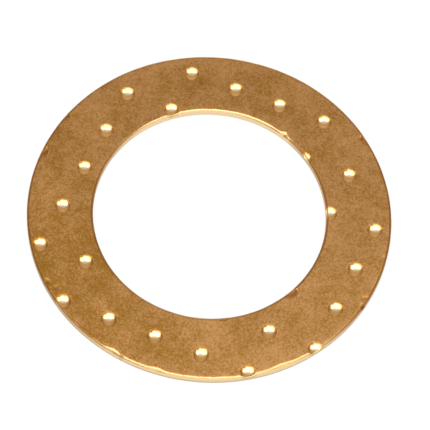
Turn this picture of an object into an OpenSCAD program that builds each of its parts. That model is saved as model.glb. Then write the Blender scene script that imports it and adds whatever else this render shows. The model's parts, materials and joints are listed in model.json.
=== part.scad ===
// Thrust washer: one flat bronze ring, blanked from strip. The bearing side carries
// staggered rows of round oil pockets, pressed into the strip before blanking, so the
// bore and the rim cut through every pocket that they cross.

/* [Ring] */
// Outside diameter, mm
outer_d = 66; // [52:0.1:100]
// Bore diameter, mm
bore_d = 42.2; // [20:0.1:56]
// Thickness of the strip, mm
thickness = 1.5; // [1:0.05:4]

/* [Edges] */
// Radius of the rolled-over edges on the bearing side, mm
edge_r = 0.5; // [0.1:0.05:1]
// Radius of the broken edges on the back, mm
back_edge_r = 0.1; // [0.05:0.05:0.4]

/* [Oil pockets] */
// Diameter of a pocket at the bearing face, mm
pocket_d = 2.8; // [1.4:0.1:5]
// Depth of a pocket at its middle, mm
pocket_depth = 0.4; // [0.1:0.05:1]
// Distance between neighbouring pockets in a row, mm
pocket_pitch = 12.8; // [6:0.1:24]
// Distance between neighbouring rows, mm
row_gap = 6; // [4:0.1:12]
// Angle of the rows from the X axis, degrees
row_angle = 26.9; // [0:0.1:90]
// Shift of the pattern along its rows from the ring's axis, mm
shift_along = 1.1; // [-6.4:0.1:6.4]
// Shift of the pattern across its rows from the ring's axis, mm
shift_across = -1.7; // [-6:0.1:6]

/* [Hidden] */
$fn = 96;

outer_r = outer_d / 2;
bore_r = bore_d / 2;
pocket_r = pocket_d / 2;

// Ball that presses a pocket of this diameter and depth
ball_r = (pocket_r * pocket_r + pocket_depth * pocket_depth) / (2 * pocket_depth);
ball_z = thickness - pocket_depth + ball_r;

// A pocket belongs to the washer when it reaches the flat between the rolled edges
flat_in = bore_r + edge_r;
flat_out = outer_r - edge_r;
function reaches_flat(p) = norm(p) > flat_in - pocket_r && norm(p) < flat_out + pocket_r;

// Every other row is shifted by half a pitch
row_count = ceil((outer_r + abs(shift_across)) / row_gap);
row_reach = ceil((outer_r + abs(shift_along)) / pocket_pitch) + 1;
function row_offset(row) = row % 2 == 0 ? 0 : pocket_pitch / 2;
function pocket_at(row, place) =
    [place * pocket_pitch + row_offset(row) + shift_along, row * row_gap + shift_across];

pockets = [
    for (row = [-row_count : row_count], place = [-row_reach : row_reach])
        let (p = pocket_at(row, place))
        if (reaches_flat(p)) p
];

// What a round edge takes off a square corner; the corner lies at +X, +Y of the centre
module corner_waste(r) {
    difference() {
        square(2 * r);
        circle(r);
    }
}

// Half section of the ring, with its axis along Y
module ring_section() {
    difference() {
        translate([bore_r, 0]) square([outer_r - bore_r, thickness]);
        translate([flat_out, thickness - edge_r]) corner_waste(edge_r);
        translate([flat_in, thickness - edge_r]) mirror([1, 0]) corner_waste(edge_r);
        translate([outer_r - back_edge_r, back_edge_r]) mirror([0, 1]) corner_waste(back_edge_r);
        translate([bore_r + back_edge_r, back_edge_r]) rotate(180) corner_waste(back_edge_r);
    }
}

// The whole washer: the turned section, dimpled by the ball at every pocket
module washer() {
    color("#ad7d44")
    difference() {
        rotate_extrude() ring_section();
        rotate(row_angle)
            for (p = pockets) translate([p.x, p.y, ball_z]) sphere(ball_r);
    }
}

washer();
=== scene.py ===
"""A bronze thrust washer with rolled edges and staggered rows of oil pockets, on a white studio floor."""

import json
import math
from typing import NamedTuple

import bpy
import numpy as np
from mathutils import Matrix, Vector


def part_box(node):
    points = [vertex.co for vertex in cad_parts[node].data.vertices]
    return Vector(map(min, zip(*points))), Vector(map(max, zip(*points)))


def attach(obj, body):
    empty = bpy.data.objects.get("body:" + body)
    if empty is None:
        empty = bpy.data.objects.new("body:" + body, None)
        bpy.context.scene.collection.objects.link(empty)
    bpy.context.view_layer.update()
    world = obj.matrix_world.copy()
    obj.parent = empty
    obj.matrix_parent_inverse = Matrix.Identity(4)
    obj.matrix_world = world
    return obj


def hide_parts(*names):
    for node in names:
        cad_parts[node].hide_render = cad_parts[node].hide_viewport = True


bl_info = {
    "name": "Thrust Washer",
    "version": (1, 0, 0),
    "blender": (4, 5, 0),
    "location": "View3D > Sidebar > Washer",
    "description": "Makes a bronze thrust washer with oil pockets and the studio that shows it",
    "category": "Object",
}

# The frame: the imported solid, its box and the stated radii of its rim and its bore
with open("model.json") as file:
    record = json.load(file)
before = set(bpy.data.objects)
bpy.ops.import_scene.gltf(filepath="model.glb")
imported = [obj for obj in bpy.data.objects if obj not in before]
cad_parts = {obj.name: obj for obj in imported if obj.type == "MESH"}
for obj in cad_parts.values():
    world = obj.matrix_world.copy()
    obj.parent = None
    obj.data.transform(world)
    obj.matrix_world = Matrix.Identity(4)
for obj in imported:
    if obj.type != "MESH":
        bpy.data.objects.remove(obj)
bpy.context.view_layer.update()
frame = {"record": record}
LOW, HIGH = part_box("washer")
MILLIMETRE = 0.001
MOUNT_RADIUS = {
    mount["name"]: mount["dims"]["r_mm"] * MILLIMETRE
    for mount in frame["record"]["mounts"]
    if "r_mm" in mount["dims"]
}

# Grid of the ring: steps round the axis, steps along the runs of its section, and shares of the way across
# the back
TURN_STEPS = 1140
FACE_STEPS = 60
ROLL_STEPS = 8
WALL_STEPS = 2
BACK_EDGE_STEPS = 2
BACK_SHARES = (0.0, 0.02, 0.98)

# The grid is drawn to the lip of a pocket from within this share of the pocket's radius, and isn't drawn
# within this many radii of a rolled edge from a wall
LIP_REACH = 1 / 3
EDGE_REACH = 1.2


class Wave(NamedTuple):
    """One ripple of the rolled edge: how many round the ring, its share of the unevenness and its phase."""

    count: int
    share: float
    phase: float


class Stretch(NamedTuple):
    """A stretch of an edge: the angle at its middle and its spread, in degrees, and what it adds there."""

    angle: float
    spread: float
    amount: float


class Knock(NamedTuple):
    """A small dent: its angle in degrees, its distance from the axis, its spread, depth and share of dirt."""

    angle: float
    radius: float
    spread: float
    depth: float
    soil: float


class Softbox(NamedTuple):
    """A softbox over the ring, in metres: how far to the right and to the back, its width and its length."""

    right: float
    back: float
    width: float
    length: float


class Pattern(NamedTuple):
    """A noise in the patina: the size of its features in metres, its detail and its weight."""

    size: float
    detail: float
    weight: float


# One softbox over the ring and one on each side of it, the right one furthest back
SOFTBOXES = (
    Softbox(0.0, -0.115, 0.66, 0.63),
    Softbox(-0.54, -0.075, 0.42, 0.75),
    Softbox(0.54, 0.14, 0.42, 0.52),
)

# Ripples of both rolled edges, and how far the bore's are turned from the rim's
EDGE_WAVES = (Wave(5, 0.35, 0.4), Wave(13, 0.3, 2.1), Wave(29, 0.2, 4.4), Wave(67, 0.15, 1.2))
BORE_TURN = math.pi / 2

# Stretches where the rim and the bore are rolled over further, or less, by this much in metres
RIM_ROLL = (
    Stretch(-132.0, 13.0, -0.00032),
    Stretch(-115.6, 1.8, 0.00040),
    Stretch(-101.0, 2.2, 0.00036),
    Stretch(-62.0, 3.4, 0.00034),
)
BORE_ROLL = (Stretch(138.0, 13.0, -0.00024), Stretch(55.6, 1.6, 0.00060))

# Stretches of wear and painted highlight on the edges: the tarnish is off there, and the pale metal is laid
# where the edges catch the light, as shares whose sum is kept from 0 to 1
RIM_WEAR_AND_SHEEN = (
    Stretch(-83.0, 32.0, 2.5),
    Stretch(-115.6, 1.8, 1.0),
    Stretch(-112.8, 1.1, -0.7),
    Stretch(95.0, 40.0, 0.9),
)
BORE_WEAR_AND_SHEEN = (Stretch(97.0, 36.0, 2.2), Stretch(55.6, 2.5, 1.6), Stretch(-95.0, 40.0, 0.65))

# Stretches of the face where the patina is darker by this share, or paler where it is below 0
STAINS = (Stretch(-150.0, 38.0, 0.12), Stretch(12.0, 35.0, -0.05))

# Painted highlight: share by which the face is paler along the stretches of wear and painted highlight on the
# edges, and how far in from them
FACE_SHEEN_PALER = 0.13
FACE_SHEEN_SPREAD = 0.0018

# Stretches where the pockets that the rim and the bore cut are as dull as the face, as shares
RIM_DULL = (Stretch(164.0, 5.0, 1.0), Stretch(149.0, 5.0, 1.0), Stretch(34.0, 5.0, 1.0))
BORE_DULL = (Stretch(-42.0, 6.0, 1.0), Stretch(-78.0, 6.0, 1.0))

# Shares of dirt and painted shade on the rolled edges, of painted shade at the foot of the rim, and of dirt
# in the dull pockets
EDGE_SOIL_AND_SHADE = 0.72
FOOT_SHADE = 0.5
POCKET_SOILED = 0.1

# Share of dirt and painted shade round the lip of a bright pocket, and its spread
LIP_SOIL_AND_SHADE = 0.36
LIP_SPREAD = 0.00007

# A painted highlight on the near side of a lip: how much brighter it is, its spread, and a power that narrows
# it
NEAR_LIP_SHEEN = 0.2
NEAR_SHEEN_SPREAD = 0.0002
NEAR_POWER = 4

# Noises in the patina, and what is taken off their sum so that its middle is about a half
CLOUDS = Pattern(0.012, 2.0, 0.3)
BLOTCHES = Pattern(0.0025, 1.0, 0.4)
MOTTLE = Pattern(0.0008, 2.0, 0.2)
GRAIN = Pattern(0.00034, 1.0, 0.82)
PATTERN_DROP = 0.35

# Where each change of the bronze's colour starts and ends, on the value that drives it
MOTTLED = (0.3, 0.7)
PALER = (0.2, 0.8)
BARED = (0.05, 0.5)
WORN = (0.8, 0.98)
GILDED = (0.0, 0.3)
PRESSED = (0.15, 0.5)

# The same for each change of its roughness
ROLLED_OVER = (0.0, 0.4)
POLISHED = (0.0, 0.1)
DIRTIED = (0.0, 0.4)

# Share of the sheared colour on the walls away from the stretches of wear and painted highlight, and how far
# the clouds change the roughness of the face
WORN_LEAST = 0.25
ROUGHNESS_SWING = 0.12

# Bump of the face: its strength, its depth, and the weight of the mottle against the grain
BUMP_STRENGTH = 0.03
BUMP_DEPTH = 0.00003
BUMP_MOTTLE = 0.5

# Names of the numbers that each point of the ring carries
FIELDS = ("pocket", "edge", "rubbed", "stained", "soiled")

# Colours of the room by how far up a direction points, from 0 level to 1 overhead, at its sides and at its
# back, and the colour of its front
SIDE_STOPS = (
    (0.0, (0.28, 0.16, 0.09)),
    (0.3, (0.46, 0.30, 0.19)),
    (0.72, (0.60, 0.46, 0.35)),
    (0.87, (0.82, 0.80, 0.78)),
    (1.0, (1.0, 1.0, 1.0)),
)
BACK_STOPS = (
    (0.0, (1.2, 1.06, 0.84)),
    (0.16, (1.1, 0.9, 0.68)),
    (0.4, (0.68, 0.48, 0.33)),
    (0.8, (0.60, 0.45, 0.33)),
)
FRONT = (1.6, 1.6, 1.6)

# Where the back and the front of the room start and end, and how far to the right and forward the front lies
BACK_SPAN = (0.55, 0.8)
FRONT_SPAN = (0.5, 0.85)
FRONT_RIGHT = 0.3
FRONT_FORWARD = 0.95

# The floor's paper, the white that is seen of it, and its gap under the ring
PAPER = (0.85, 0.85, 0.85)
WHITE = (1.0, 1.0, 1.0)
FLOOR_GAP = 0.02 * MILLIMETRE

# Share of the camera's distance that is too near for it to show
CLIP_SHARE = 0.01

# Dents in the edges and the bearing face: dirty nicks, then shallow clean ones
KNOCKS = (
    Knock(-28.6, 0.0329, 0.00050, 0.00012, 1.0),
    Knock(-147.5, 0.0325, 0.00045, 0.00012, 1.0),
    Knock(35.1, 0.0324, 0.00035, 0.00012, 1.0),
    Knock(148.9, 0.0325, 0.00035, 0.00012, 1.0),
    Knock(-39.9, 0.0218, 0.00030, 0.00012, 1.0),
    Knock(-25.4, 0.0324, 0.00050, 0.00007, 0.0),
    Knock(-10.0, 0.0322, 0.00060, 0.00004, 0.0),
    Knock(-144.5, 0.0315, 0.00040, 0.00004, 0.0),
)


class RingSettings(bpy.types.PropertyGroup):
    """Sizes of the ring."""

    rim_radius: bpy.props.FloatProperty(
        name="Rim radius", description="Radius of the rim", default=MOUNT_RADIUS["rim"], unit="LENGTH")
    bore_radius: bpy.props.FloatProperty(
        name="Bore radius", description="Radius of the bore", default=MOUNT_RADIUS["bore"], unit="LENGTH")
    thickness: bpy.props.FloatProperty(
        name="Thickness", description="Thickness of the strip", default=HIGH.z - LOW.z, unit="LENGTH")
    roll_radius: bpy.props.FloatProperty(
        name="Rolled edge", description="Radius of the rolled edges of the bearing face",
        default=0.0005, unit="LENGTH")
    roll_unevenness: bpy.props.FloatProperty(
        name="Unevenness", description="Share of its radius by which a rolled edge comes and goes",
        default=0.14, subtype="FACTOR")
    back_edge_radius: bpy.props.FloatProperty(
        name="Back edge", description="Radius of the broken edges of the back", default=0.0001, unit="LENGTH")
    pocket_radius: bpy.props.FloatProperty(
        name="Pocket radius", description="Radius of a pocket at the bearing face",
        default=0.0014, unit="LENGTH")
    pocket_depth: bpy.props.FloatProperty(
        name="Pocket depth", description="Depth of a pocket at its middle", default=0.0004, unit="LENGTH")
    pocket_lip: bpy.props.FloatProperty(
        name="Pocket lip", description="Height over which the lip of a pocket is rounded",
        default=0.00002, unit="LENGTH")
    pocket_pitch: bpy.props.FloatProperty(
        name="Pocket pitch", description="Distance between pockets in a row", default=0.0128, unit="LENGTH")
    row_gap: bpy.props.FloatProperty(
        name="Row gap", description="Distance between rows of pockets", default=0.006, unit="LENGTH")
    row_angle: bpy.props.FloatProperty(
        name="Row angle", description="Angle of the rows of pockets from the X axis",
        default=math.radians(26.9), subtype="ANGLE")
    shift_along: bpy.props.FloatProperty(
        name="Shift along", description="Shift of the pattern along its rows", default=0.0011, unit="LENGTH")
    shift_across: bpy.props.FloatProperty(
        name="Shift across", description="Shift of the pattern across its rows",
        default=-0.0017, unit="LENGTH")


class FinishSettings(bpy.types.PropertyGroup):
    """Colours and finish of the bronze."""

    red_bronze: bpy.props.FloatVectorProperty(
        name="Red bronze", description="Redder colour in the mottle of the bearing face",
        default=(0.317, 0.1315, 0.025), size=3, subtype="COLOR", min=0, max=1)
    olive_bronze: bpy.props.FloatVectorProperty(
        name="Olive bronze", description="Greener colour in the mottle of the bearing face",
        default=(0.290, 0.1515, 0.015), size=3, subtype="COLOR", min=0, max=1)
    pale_bronze: bpy.props.FloatVectorProperty(
        name="Pale bronze", description="Colour of the paler grains of the bearing face",
        default=(0.513, 0.2765, 0.109), size=3, subtype="COLOR", min=0, max=1)
    rolled_bronze: bpy.props.FloatVectorProperty(
        name="Rolled bronze", description="Colour of the rolled edges",
        default=(0.72, 0.50, 0.24), size=3, subtype="COLOR", min=0, max=1)
    sheared_bronze: bpy.props.FloatVectorProperty(
        name="Sheared bronze", description="Colour of the walls of the rim and the bore",
        default=(0.84, 0.65, 0.38), size=3, subtype="COLOR", min=0, max=1)
    gilt_bronze: bpy.props.FloatVectorProperty(
        name="Gilt bronze", description="Colour of the pockets between their lip and their middle",
        default=(0.60, 0.36, 0.12), size=3, subtype="COLOR", min=0, max=1)
    pressed_bronze: bpy.props.FloatVectorProperty(
        name="Pressed bronze", description="Colour of the bright metal in the middle of the pockets",
        default=(0.77, 0.56, 0.30), size=3, subtype="COLOR", min=0, max=1)
    # This dark colour paints dirt, and painted shade on the rolled edges, at the foot of the rim and round
    # the lips
    soil: bpy.props.FloatVectorProperty(
        name="Soil", description="Colour of the dirt and tarnish on the edges and round the pockets",
        default=(0.18, 0.078, 0.02), size=3, subtype="COLOR", min=0, max=1)
    face_roughness: bpy.props.FloatProperty(
        name="Face roughness", description="Mean roughness of the bearing face",
        default=0.27, subtype="FACTOR")
    edge_roughness: bpy.props.FloatProperty(
        name="Edge roughness", description="Roughness of the rolled edges", default=0.36, subtype="FACTOR")
    pocket_roughness: bpy.props.FloatProperty(
        name="Pocket roughness", description="Roughness of the bright pockets", default=0.2, subtype="FACTOR")
    soil_roughness: bpy.props.FloatProperty(
        name="Soil roughness", description="Roughness of the dirt", default=0.65, subtype="FACTOR")


class StageSettings(bpy.types.PropertyGroup):
    """Camera, floor and light."""

    lens: bpy.props.FloatProperty(
        name="Lens", description="Focal length of the camera", default=193.14, unit="CAMERA")
    aim: bpy.props.FloatVectorProperty(
        name="Aim", description="Point at the middle of the picture", default=(0.00098, -0.00053, 0.0015),
        size=3, subtype="TRANSLATION", unit="LENGTH")
    distance: bpy.props.FloatProperty(
        name="Distance", description="From the camera to its aim", default=0.4167, unit="LENGTH")
    elevation: bpy.props.FloatProperty(
        name="Elevation", description="Height of the camera above the horizon",
        default=math.radians(62.147), subtype="ANGLE")
    roll: bpy.props.FloatProperty(
        name="Roll", description="Turn of the camera about its line of sight",
        default=math.radians(6.126), subtype="ANGLE")
    floor_half: bpy.props.FloatProperty(
        name="Floor", description="Half the width of the floor", default=4.0, unit="LENGTH")
    floor_glow: bpy.props.FloatProperty(
        name="Floor glow", description="Share of plain white in the floor as the camera and the metal see it",
        default=0.9, subtype="FACTOR")
    softbox_height: bpy.props.FloatProperty(
        name="Softbox height", description="Height of the softboxes above the floor",
        default=0.9, unit="LENGTH")
    softbox_level: bpy.props.FloatProperty(
        name="Softbox level", description="Brightness of the softboxes, where white paper is 1", default=3.0)


class Wire:
    """A socket of a node. Sums, differences and products of wires and numbers add Math nodes."""

    def __init__(self, bench, socket):
        self.bench = bench
        self.socket = socket

    def out(self, name):
        """Another output of the same node."""
        return Wire(self.bench, self.socket.node.outputs[name])

    def maths(self, operation, first, second):
        """A Math node that works on two values."""
        return self.bench.add("ShaderNodeMath", {"operation": operation}, {0: first, 1: second})

    def __add__(self, other):
        return self.maths("ADD", self, other)

    def __radd__(self, other):
        return self.maths("ADD", other, self)

    def __sub__(self, other):
        return self.maths("SUBTRACT", self, other)

    def __rsub__(self, other):
        return self.maths("SUBTRACT", other, self)

    def __mul__(self, other):
        return self.maths("MULTIPLY", self, other)

    def __rmul__(self, other):
        return self.maths("MULTIPLY", other, self)

    def towards(self, end, share):
        """This value where the share is 0, and the end where it is 1."""
        return self + share * (end - self)


class Bench:
    """Adds nodes to one node tree."""

    def __init__(self, tree):
        self.tree = tree
        tree.nodes.clear()

    def add(self, kind, settings=None, sockets=None, output=0):
        """A node of this kind, with its settings set first and then its sockets' values or links."""
        node = self.tree.nodes.new(kind)
        for name, value in (settings or {}).items():
            if name == "stops":
                self.set_stops(node.color_ramp.elements, value)
            else:
                setattr(node, name, value)
        for name, value in (sockets or {}).items():
            if isinstance(value, Wire):
                self.tree.links.new(value.socket, node.inputs[name])
            else:
                node.inputs[name].default_value = value
        if not node.outputs:
            return None
        return Wire(self, node.outputs[output])

    @staticmethod
    def set_stops(elements, stops):
        """Puts each stop's colour at its place on a ramp."""
        elements.remove(elements[1])
        elements[0].position = stops[0][0]
        elements[0].color = opaque(stops[0][1])
        for place, colour in stops[1:]:
            elements.new(place).color = opaque(colour)

    def noise(self, place, pattern):
        """Cloudy noise from 0 to 1, whose features are about as many metres across as the pattern's size."""
        sockets = {"Vector": place, "Scale": 1 / pattern.size, "Detail": pattern.detail}
        return self.add("ShaderNodeTexNoise", None, sockets)

    def mix(self, share, first, second):
        """The first colour where the share is 0, the second where it is 1."""
        return self.add("ShaderNodeMix", {"data_type": "RGBA"}, {0: share, 6: first, 7: second}, 2)

    def ramp(self, value, stops):
        """The colour at this value on straight lines between stops."""
        return self.add("ShaderNodeValToRGB", {"stops": stops}, {0: value})

    def rise(self, value, span):
        """A share that rises smoothly from 0 where the value is at the span's start to 1 at its end."""
        settings = {"interpolation_type": "SMOOTHSTEP"}
        sockets = {"Value": value, "From Min": span[0], "From Max": span[1]}
        return self.add("ShaderNodeMapRange", settings, sockets)


def opaque(colour):
    """A colour property as a socket takes it."""
    return (*colour, 1.0)


def even(steps):
    """Shares from 0 up to, and not including, 1, in equal steps."""
    return np.linspace(0.0, 1.0, steps, endpoint=False)


def straight(start, end, shares):
    """A straight run of the section: start + share * (end - start), at every angle of the ring."""
    start = np.stack(np.broadcast_arrays(*start))[..., None]
    end = np.stack(np.broadcast_arrays(*end))[..., None]
    return start + np.asarray(shares) * (end - start)


def rounded(centre, radius, first, last, steps):
    """A round run of the section: centre + radius * (cosine, sine), from the first angle towards the last."""
    turn = np.radians(first + even(steps) * (last - first))
    centre = np.stack(np.broadcast_arrays(*centre, radius)[:2])[..., None]
    return centre + np.reshape(radius, (-1, 1)) * np.stack([np.cos(turn), np.sin(turn)])[:, None]


def bell(distance, spread):
    """1 at no distance, and otherwise e to the power of minus the square of the distance over the spread."""
    return np.exp(-(distance / spread) ** 2)


def along_edge(angles, stretches):
    """What the stretches add round an edge: the sum of each amount times a bell of the angle from its
    middle."""
    total = np.zeros_like(angles)
    for stretch in stretches:
        apart = np.angle(np.exp(1j * (angles - math.radians(stretch.angle))))
        total = total + stretch.amount * bell(apart, math.radians(stretch.spread))
    return total


def nearer_edge(angles, rim_nearer, rim, bore):
    """Shares from 0 to 1 on the grid: the rim's stretches where the rim is nearer, otherwise the bore's."""
    by_rim = along_edge(angles, rim)[:, None]
    by_bore = along_edge(angles, bore)[:, None]
    return np.where(rim_nearer, by_rim, by_bore).clip(0, 1)


def rolled_radius(angles, ring):
    """Radius of a rolled edge round the ring: its mean times 1 plus the unevenness times the sum of waves."""
    waves = sum(wave.share * np.sin(wave.count * angles + wave.phase) for wave in EDGE_WAVES)
    return ring.roll_radius * (1 + ring.roll_unevenness * waves)


def ring_section(angles, rim_roll, bore_roll, ring):
    """Radius and height of the section at every angle: across the bearing face, over the rim's rolled edge,
    down the rim, round the back's edge, across the back, round the bore's back edge, up the bore and over its
    rolled edge."""
    rim, bore, top, back = ring.rim_radius, ring.bore_radius, ring.thickness, ring.back_edge_radius
    level = np.zeros_like(angles)
    runs = [
        straight((bore + bore_roll, top + level), (rim - rim_roll, top + level), even(FACE_STEPS)),
        rounded((rim - rim_roll, top - rim_roll), rim_roll, 90, 0, ROLL_STEPS),
        straight((rim + level, top - rim_roll), (rim + level, back + level), even(WALL_STEPS)),
        rounded((rim - back, back), back + level, 0, -90, BACK_EDGE_STEPS),
        straight((rim - back + level, level), (bore + back + level, level), BACK_SHARES),
        rounded((bore + back, back), back + level, -90, -180, BACK_EDGE_STEPS),
        straight((bore + level, back + level), (bore + level, top - bore_roll), even(WALL_STEPS)),
        rounded((bore + bore_roll, top - bore_roll), bore_roll, 180, 90, ROLL_STEPS),
    ]
    return np.concatenate(runs, axis=-1)


def pocket_centres(ring):
    """Centres of the pockets: rows a gap apart and places a pitch apart, every other row moved on by half a
    pitch, and the pattern then shifted and turned. Those that reach the flat between the rolled edges are
    kept."""
    rows = math.ceil((ring.rim_radius + abs(ring.shift_across)) / ring.row_gap)
    reach = math.ceil((ring.rim_radius + abs(ring.shift_along)) / ring.pocket_pitch) + 1
    row, place = np.mgrid[-rows:rows + 1, -reach:reach + 1]
    along = (place + row % 2 / 2) * ring.pocket_pitch + ring.shift_along
    across = row * ring.row_gap + ring.shift_across
    from_axis = np.hypot(along, across)
    outside_bore = from_axis > ring.bore_radius + ring.roll_radius - ring.pocket_radius
    inside_rim = from_axis < ring.rim_radius - ring.roll_radius + ring.pocket_radius
    kept = (along + 1j * across)[outside_bore & inside_rim] * np.exp(1j * ring.row_angle)
    return kept.real, kept.imag


def pressed_height(height, apart, ring):
    """Height after the ball has pressed the strip: the lower of the height and the ball's underside, which is
    the ball's centre minus the root of its radius squared less the distance squared, with a rounded lip."""
    ball = (ring.pocket_radius ** 2 + ring.pocket_depth ** 2) / (2 * ring.pocket_depth)
    centre = ring.thickness - ring.pocket_depth + ball
    underside = centre - np.sqrt(np.maximum(ball ** 2 - apart ** 2, 0))
    share = np.clip(0.5 + 0.5 * (underside - height) / ring.pocket_lip, 0, 1)
    return underside + share * (height - underside) - ring.pocket_lip * share * (1 - share)


def knock_shares(x, y):
    """How far each point is inside each knock: a bell of its distance from the middle of the knock."""
    shares = []
    for knock in KNOCKS:
        angle = math.radians(knock.angle)
        apart = np.hypot(x - knock.radius * math.cos(angle), y - knock.radius * math.sin(angle))
        shares.append(bell(apart, knock.spread))
    return np.stack(shares, axis=-1)


def gathered(x, y, height, ring):
    """Points of the flat face drawn to the lip of the nearest pocket, so that the grid is finest there: a
    distance from the lip of less than the reach becomes that distance squared over the reach. Points near the
    rolled edges are drawn less, and those on them not at all. Gives each point's distance from that pocket's
    centre too, and how squarely it lies on the pocket's near side: a power of the cosine of its direction."""
    reach = LIP_REACH * ring.pocket_radius
    centre_x, centre_y = pocket_centres(ring)
    from_x = x[..., None] - centre_x
    from_y = y[..., None] - centre_y
    nearest = np.hypot(from_x, from_y).argmin(axis=-1)[..., None]
    from_x = np.take_along_axis(from_x, nearest, axis=-1)[..., 0]
    from_y = np.take_along_axis(from_y, nearest, axis=-1)[..., 0]
    apart = np.hypot(from_x, from_y)
    beyond = apart - ring.pocket_radius
    drawn = beyond * (np.minimum(np.abs(beyond) / reach, 1) - 1)
    radius = np.hypot(x, y)
    from_wall = np.minimum(ring.rim_radius - radius, radius - ring.bore_radius)
    free = np.clip((from_wall - EDGE_REACH * ring.roll_radius) / reach, 0, 1) * (height > ring.thickness / 2)
    drawn = drawn * free / np.maximum(apart, reach)
    near = np.clip(-from_y / np.maximum(apart, reach), 0, 1) ** NEAR_POWER
    return x + drawn * from_x, y + drawn * from_y, apart + drawn * apart, near


def soiled_and_shaded_share(edge, rubbed, dull, apart, near, nicks, ring):
    """Share of dirt and painted shade: the largest of the nicks, the dull pockets, the lips and the rolled
    edges. A lip is a bell of the distance from it, less on the near side, and is dirt and painted shade. An
    edge is half a sine wave of the root of the share of the way from the face to the wall, less where there
    is wear and painted highlight, and is dirt and painted shade."""
    inside = np.clip((ring.pocket_radius - apart) / LIP_SPREAD, 0, 1)
    lip = bell(apart - ring.pocket_radius, LIP_SPREAD) * (1 - near)
    return np.maximum.reduce([
        nicks,
        POCKET_SOILED * inside * dull,
        # Dirt and painted shade round the lips, less on their near sides, and on the rolled edges away from
        # the painted highlight
        LIP_SOIL_AND_SHADE * lip * (1 - dull),
        EDGE_SOIL_AND_SHADE * np.sin(math.pi * np.sqrt(edge)) * (1 - rubbed),
    ])


def ring_surface(ring):
    """Points of the whole ring on a grid of angle and section: the radius times the cosine and the sine of
    the angle, and the height. With each come five shares. That of the pocket falls from 1 at the middle of a
    bright pocket to 0 at its lip, with a painted highlight added as a bell on the lip's near side. That of
    the edge rises from 0 to 1 across a rolled edge. The others say how much the point has of wear and painted
    highlight, of stain and painted highlight, and of dirt and painted shade, where the foot of the rim has
    painted shade in proportion to its depth below half the thickness."""
    angles = np.linspace(0, 2 * math.pi, TURN_STEPS, endpoint=False)
    rim_roll = rolled_radius(angles, ring) + along_edge(angles, RIM_ROLL)
    bore_roll = rolled_radius(angles + BORE_TURN, ring) + along_edge(angles, BORE_ROLL)
    radius, height = ring_section(angles, rim_roll, bore_roll, ring)
    x = radius * np.cos(angles)[:, None]
    y = radius * np.sin(angles)[:, None]
    x, y, apart, near = gathered(x, y, height, ring)
    upper = height > ring.thickness / 2
    knocks = knock_shares(x, y) * upper[..., None]
    height = pressed_height(height, apart, ring) - knocks @ np.array([knock.depth for knock in KNOCKS])
    nicks = knocks @ np.array([knock.soil for knock in KNOCKS])
    to_rim = ring.rim_radius - radius
    to_bore = radius - ring.bore_radius
    # Wear and painted highlight round the edges, mostly on the near rim and the far bore, which face the
    # light
    rubbed = nearer_edge(angles, to_rim < to_bore, RIM_WEAR_AND_SHEEN, BORE_WEAR_AND_SHEEN)
    dull = nearer_edge(angles, to_rim < to_bore, RIM_DULL, BORE_DULL)
    rim_edge = np.clip(1 - to_rim / rim_roll[:, None], 0, 1)
    edge = np.maximum(rim_edge, np.clip(1 - to_bore / bore_roll[:, None], 0, 1))
    # Painted highlight: the face paler next to the edges' stretches of wear and painted highlight
    face_sheen = FACE_SHEEN_PALER * rubbed * bell(np.minimum(to_rim, to_bore), FACE_SHEEN_SPREAD)
    # Painted shade at the foot of the rim wall, darker lower down
    foot = FOOT_SHADE * rim_edge * np.clip(1 - 2 * height / ring.thickness, 0, 1)
    inside = np.clip(1 - apart / ring.pocket_radius, 0, 1)
    # Painted highlight just outside the near side of each lip
    near_lip_sheen = NEAR_LIP_SHEEN * near * bell(apart - ring.pocket_radius, NEAR_SHEEN_SPREAD)
    fields = {
        # The pocket's share carries the painted highlight on each lip's near side
        "pocket": (inside + near_lip_sheen) * (1 - dull) * upper,
        "edge": edge,
        "rubbed": rubbed,
        "stained": along_edge(angles, STAINS)[:, None] - face_sheen,
        "soiled": np.where(upper, soiled_and_shaded_share(edge, rubbed, dull, apart, near, nicks, ring), foot),
    }
    return np.stack([x, y, height], axis=-1), fields


def closed_mesh(name, points, fields):
    """A smooth mesh over a grid that closes on itself both ways, with a number per point for each field. A
    face joins a point and the next along the section to the same two at the next angle."""
    index = np.arange(points[..., 0].size).reshape(points.shape[:2])
    beside = np.roll(index, -1, axis=1)
    corners = np.stack([index, beside, np.roll(beside, -1, axis=0), np.roll(index, -1, axis=0)], axis=-1)
    mesh = bpy.data.meshes.new(name)
    mesh.vertices.add(index.size)
    mesh.vertices.foreach_set("co", points.astype(np.float32).ravel())
    mesh.loops.add(corners.size)
    mesh.loops.foreach_set("vertex_index", corners.astype(np.int32).ravel())
    mesh.polygons.add(index.size)
    mesh.polygons.foreach_set("loop_start", np.arange(0, corners.size, 4, dtype=np.int32))
    mesh.polygons.foreach_set("use_smooth", np.ones(index.size, dtype=bool))
    for field, values in fields.items():
        attribute = mesh.attributes.new(field, "FLOAT", "POINT")
        attribute.data.foreach_set("value", values.astype(np.float32).ravel())
    mesh.update(calc_edges=True)
    return mesh


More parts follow.
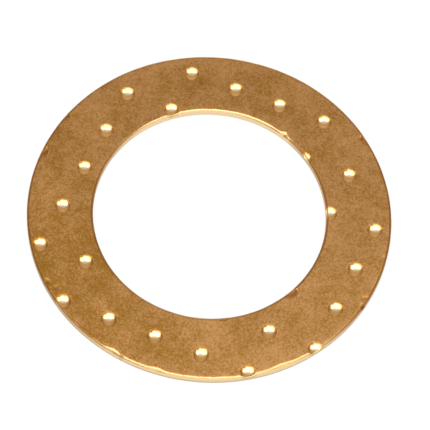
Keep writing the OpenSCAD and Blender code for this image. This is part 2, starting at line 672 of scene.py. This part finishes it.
def bronze(finish):
    """Bronze: a mottled brown bearing face with a fine grain, brighter metal where there is wear, where it
    was pressed and where a highlight is painted, and dirt and painted shade over both."""
    material = bpy.data.materials.new("bronze")
    material.use_nodes = True
    bench = Bench(material.node_tree)
    place = bench.add("ShaderNodeTexCoord").out("Object")
    pocket, edge, rubbed, stained, soiled = (
        bench.add("ShaderNodeAttribute", {"attribute_name": name}).out("Fac") for name in FIELDS)
    clouds, blotches, mottle, grain = (
        bench.noise(place, pattern) for pattern in (CLOUDS, BLOTCHES, MOTTLE, GRAIN))
    patina = bench.mix(bench.rise(mottle, MOTTLED), opaque(finish.red_bronze), opaque(finish.olive_bronze))
    fine = grain * GRAIN.weight + mottle * MOTTLE.weight
    light = fine + blotches * BLOTCHES.weight + clouds * CLOUDS.weight - PATTERN_DROP - stained
    face = bench.mix(bench.rise(light, PALER), patina, opaque(finish.pale_bronze))
    # Paler metal on the rolled edges where there is wear and where a highlight is painted
    bared_and_sheen = bench.rise(edge, BARED) * rubbed
    rolled = bench.mix(bared_and_sheen, face, opaque(finish.rolled_bronze))
    worn_and_sheen = bench.rise(edge, WORN) * (WORN_LEAST + (1 - WORN_LEAST) * rubbed)
    sheared = bench.mix(worn_and_sheen, rolled, opaque(finish.sheared_bronze))
    # The pocket share also brings a painted highlight to each lip's near side
    gilt = bench.mix(bench.rise(pocket, GILDED), sheared, opaque(finish.gilt_bronze))
    pressed = bench.mix(bench.rise(pocket, PRESSED), gilt, opaque(finish.pressed_bronze))
    # The dark colour is dirt, and painted shade on the edges, the foot of the rim and the lips
    colour = bench.mix(soiled, pressed, opaque(finish.soil))
    satin = finish.face_roughness - ROUGHNESS_SWING / 2 + clouds * ROUGHNESS_SWING
    rounded_off = satin.towards(finish.edge_roughness, bench.rise(edge, ROLLED_OVER))
    polished = rounded_off.towards(finish.pocket_roughness, bench.rise(pocket, POLISHED))
    roughness = polished.towards(finish.soil_roughness, bench.rise(soiled, DIRTIED))
    normal = bench.add("ShaderNodeBump", None, {
        "Strength": BUMP_STRENGTH, "Distance": BUMP_DEPTH, "Height": grain + mottle * BUMP_MOTTLE})
    shader = bench.add("ShaderNodeBsdfPrincipled", None, {
        "Base Color": colour, "Metallic": 1.0, "Roughness": roughness, "Normal": normal})
    bench.add("ShaderNodeOutputMaterial", None, {"Surface": shader})
    return material


def white_floor(stage):
    """White paper that keeps a faint shadow: mostly plain white to the camera and in reflections, and
    otherwise matt."""
    material = bpy.data.materials.new("white_floor")
    material.use_nodes = True
    bench = Bench(material.node_tree)
    path = bench.add("ShaderNodeLightPath")
    seen = path.out("Is Camera Ray") + path.out("Is Glossy Ray") + path.out("Is Transmission Ray")
    paper = bench.add("ShaderNodeBsdfDiffuse", None, {"Color": opaque(PAPER)})
    white = bench.add("ShaderNodeEmission", None, {"Color": opaque(WHITE), "Strength": 1.0})
    shown = seen.maths("MINIMUM", seen, 1.0) * stage.floor_glow
    surface = bench.add("ShaderNodeMixShader", None, {0: shown, 1: paper, 2: white})
    bench.add("ShaderNodeOutputMaterial", None, {"Surface": surface})
    return material


def make_floor(stage):
    """A flat square floor just under the ring."""
    half = stage.floor_half
    corners = np.array([(-half, -half), (half, -half), (half, half), (-half, half)])
    level = LOW.z - FLOOR_GAP
    mesh = bpy.data.meshes.new("floor")
    mesh.from_pydata(np.column_stack([corners, np.full(len(corners), level)]).tolist(), [], [(0, 1, 2, 3)])
    mesh.materials.append(white_floor(stage))
    floor = bpy.data.objects.new("floor", mesh)
    bpy.context.scene.collection.objects.link(floor)


def make_room():
    """Light of a room with warm walls: dim low down at the sides and bright at the back, whiter overhead, and
    white in front."""
    world = bpy.data.worlds.new("room")
    world.use_nodes = True
    bench = Bench(world.node_tree)
    direction = bench.add("ShaderNodeTexCoord").out("Generated")
    axes = bench.add("ShaderNodeSeparateXYZ", None, {0: direction})
    sides = bench.ramp(axes.out("Z"), SIDE_STOPS)
    back = bench.ramp(axes.out("Z"), BACK_STOPS)
    walls = bench.mix(bench.rise(axes.out("Y"), BACK_SPAN), sides, back)
    front = axes.out("X") * FRONT_RIGHT - axes.out("Y") * FRONT_FORWARD
    colour = bench.mix(bench.rise(front, FRONT_SPAN), walls, opaque(FRONT))
    light = bench.add("ShaderNodeBackground", None, {"Color": colour, "Strength": 1.0})
    bench.add("ShaderNodeOutputWorld", None, {"Surface": light})
    bpy.context.scene.world = world


def make_softboxes(stage):
    """Softboxes that hang level overhead. The power of each is its brightness times pi times its area."""
    for box in SOFTBOXES:
        lamp = bpy.data.lights.new("softbox", "AREA")
        lamp.shape = "RECTANGLE"
        lamp.size = box.width
        lamp.size_y = box.length
        lamp.energy = stage.softbox_level * math.pi * box.width * box.length
        softbox = bpy.data.objects.new("softbox", lamp)
        softbox.location = (box.right, box.back, stage.softbox_height)
        bpy.context.scene.collection.objects.link(softbox)


def make_camera(stage):
    """The camera looks along +Y and down at its aim, from its elevation, rolled about its line of sight."""
    back = Vector((0, -math.cos(stage.elevation), math.sin(stage.elevation)))
    right = Vector((1, 0, 0))
    level = Matrix((right, back.cross(right), back)).transposed()
    lens = bpy.data.cameras.new("camera")
    lens.lens = stage.lens
    lens.clip_start = CLIP_SHARE * stage.distance
    camera = bpy.data.objects.new("camera", lens)
    turn = (level @ Matrix.Rotation(stage.roll, 3, "Z")).to_4x4()
    camera.matrix_world = Matrix.Translation(Vector(stage.aim) + back * stage.distance) @ turn
    bpy.context.scene.collection.objects.link(camera)
    bpy.context.scene.camera = camera


class WASHER_OT_ring(bpy.types.Operator):
    """Make the bronze ring in the place of its plain solid"""

    bl_idname = "thrust_washer.make_ring"
    bl_label = "Make the Ring"

    def execute(self, context):
        scene = context.scene
        points, fields = ring_surface(scene.washer_ring)
        mesh = closed_mesh("ring", points, fields)
        mesh.materials.append(bronze(scene.washer_finish))
        ring = bpy.data.objects.new("ring", mesh)
        scene.collection.objects.link(ring)
        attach(ring, "root")
        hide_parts("washer")
        return {"FINISHED"}


class WASHER_OT_stage(bpy.types.Operator):
    """Make the floor, the light and the camera"""

    bl_idname = "thrust_washer.make_stage"
    bl_label = "Make the Stage"

    def execute(self, context):
        stage = context.scene.washer_stage
        make_floor(stage)
        make_room()
        make_softboxes(stage)
        make_camera(stage)
        return {"FINISHED"}


class WASHER_PT_panel(bpy.types.Panel):
    """Settings and steps of the thrust washer"""

    bl_idname = "WASHER_PT_panel"
    bl_label = "Thrust Washer"
    bl_space_type = "VIEW_3D"
    bl_region_type = "UI"
    bl_category = "Washer"

    def draw(self, context):
        for group, operators in (
            ("washer_ring", ()),
            ("washer_finish", (WASHER_OT_ring,)),
            ("washer_stage", (WASHER_OT_stage,)),
        ):
            box = self.layout.box()
            settings = getattr(context.scene, group)
            for name in settings.__annotations__:
                box.prop(settings, name)
            for operator in operators:
                box.operator(operator.bl_idname)


SETTINGS = {"washer_ring": RingSettings, "washer_finish": FinishSettings, "washer_stage": StageSettings}
CLASSES = (*SETTINGS.values(), WASHER_OT_ring, WASHER_OT_stage, WASHER_PT_panel)


def register():
    """Add the classes, and a group of each kind of settings to every scene."""
    for item in CLASSES:
        bpy.utils.register_class(item)
    for name, kind in SETTINGS.items():
        setattr(bpy.types.Scene, name, bpy.props.PointerProperty(type=kind))


def unregister():
    """Take away what register adds."""
    for name in SETTINGS:
        delattr(bpy.types.Scene, name)
    for item in reversed(CLASSES):
        bpy.utils.unregister_class(item)


def main():
    """Make the stage and the ring."""
    register()
    bpy.context.scene.view_settings.view_transform = "Standard"
    bpy.ops.thrust_washer.make_stage()
    bpy.ops.thrust_washer.make_ring()


if __name__ == "__main__":
    main()
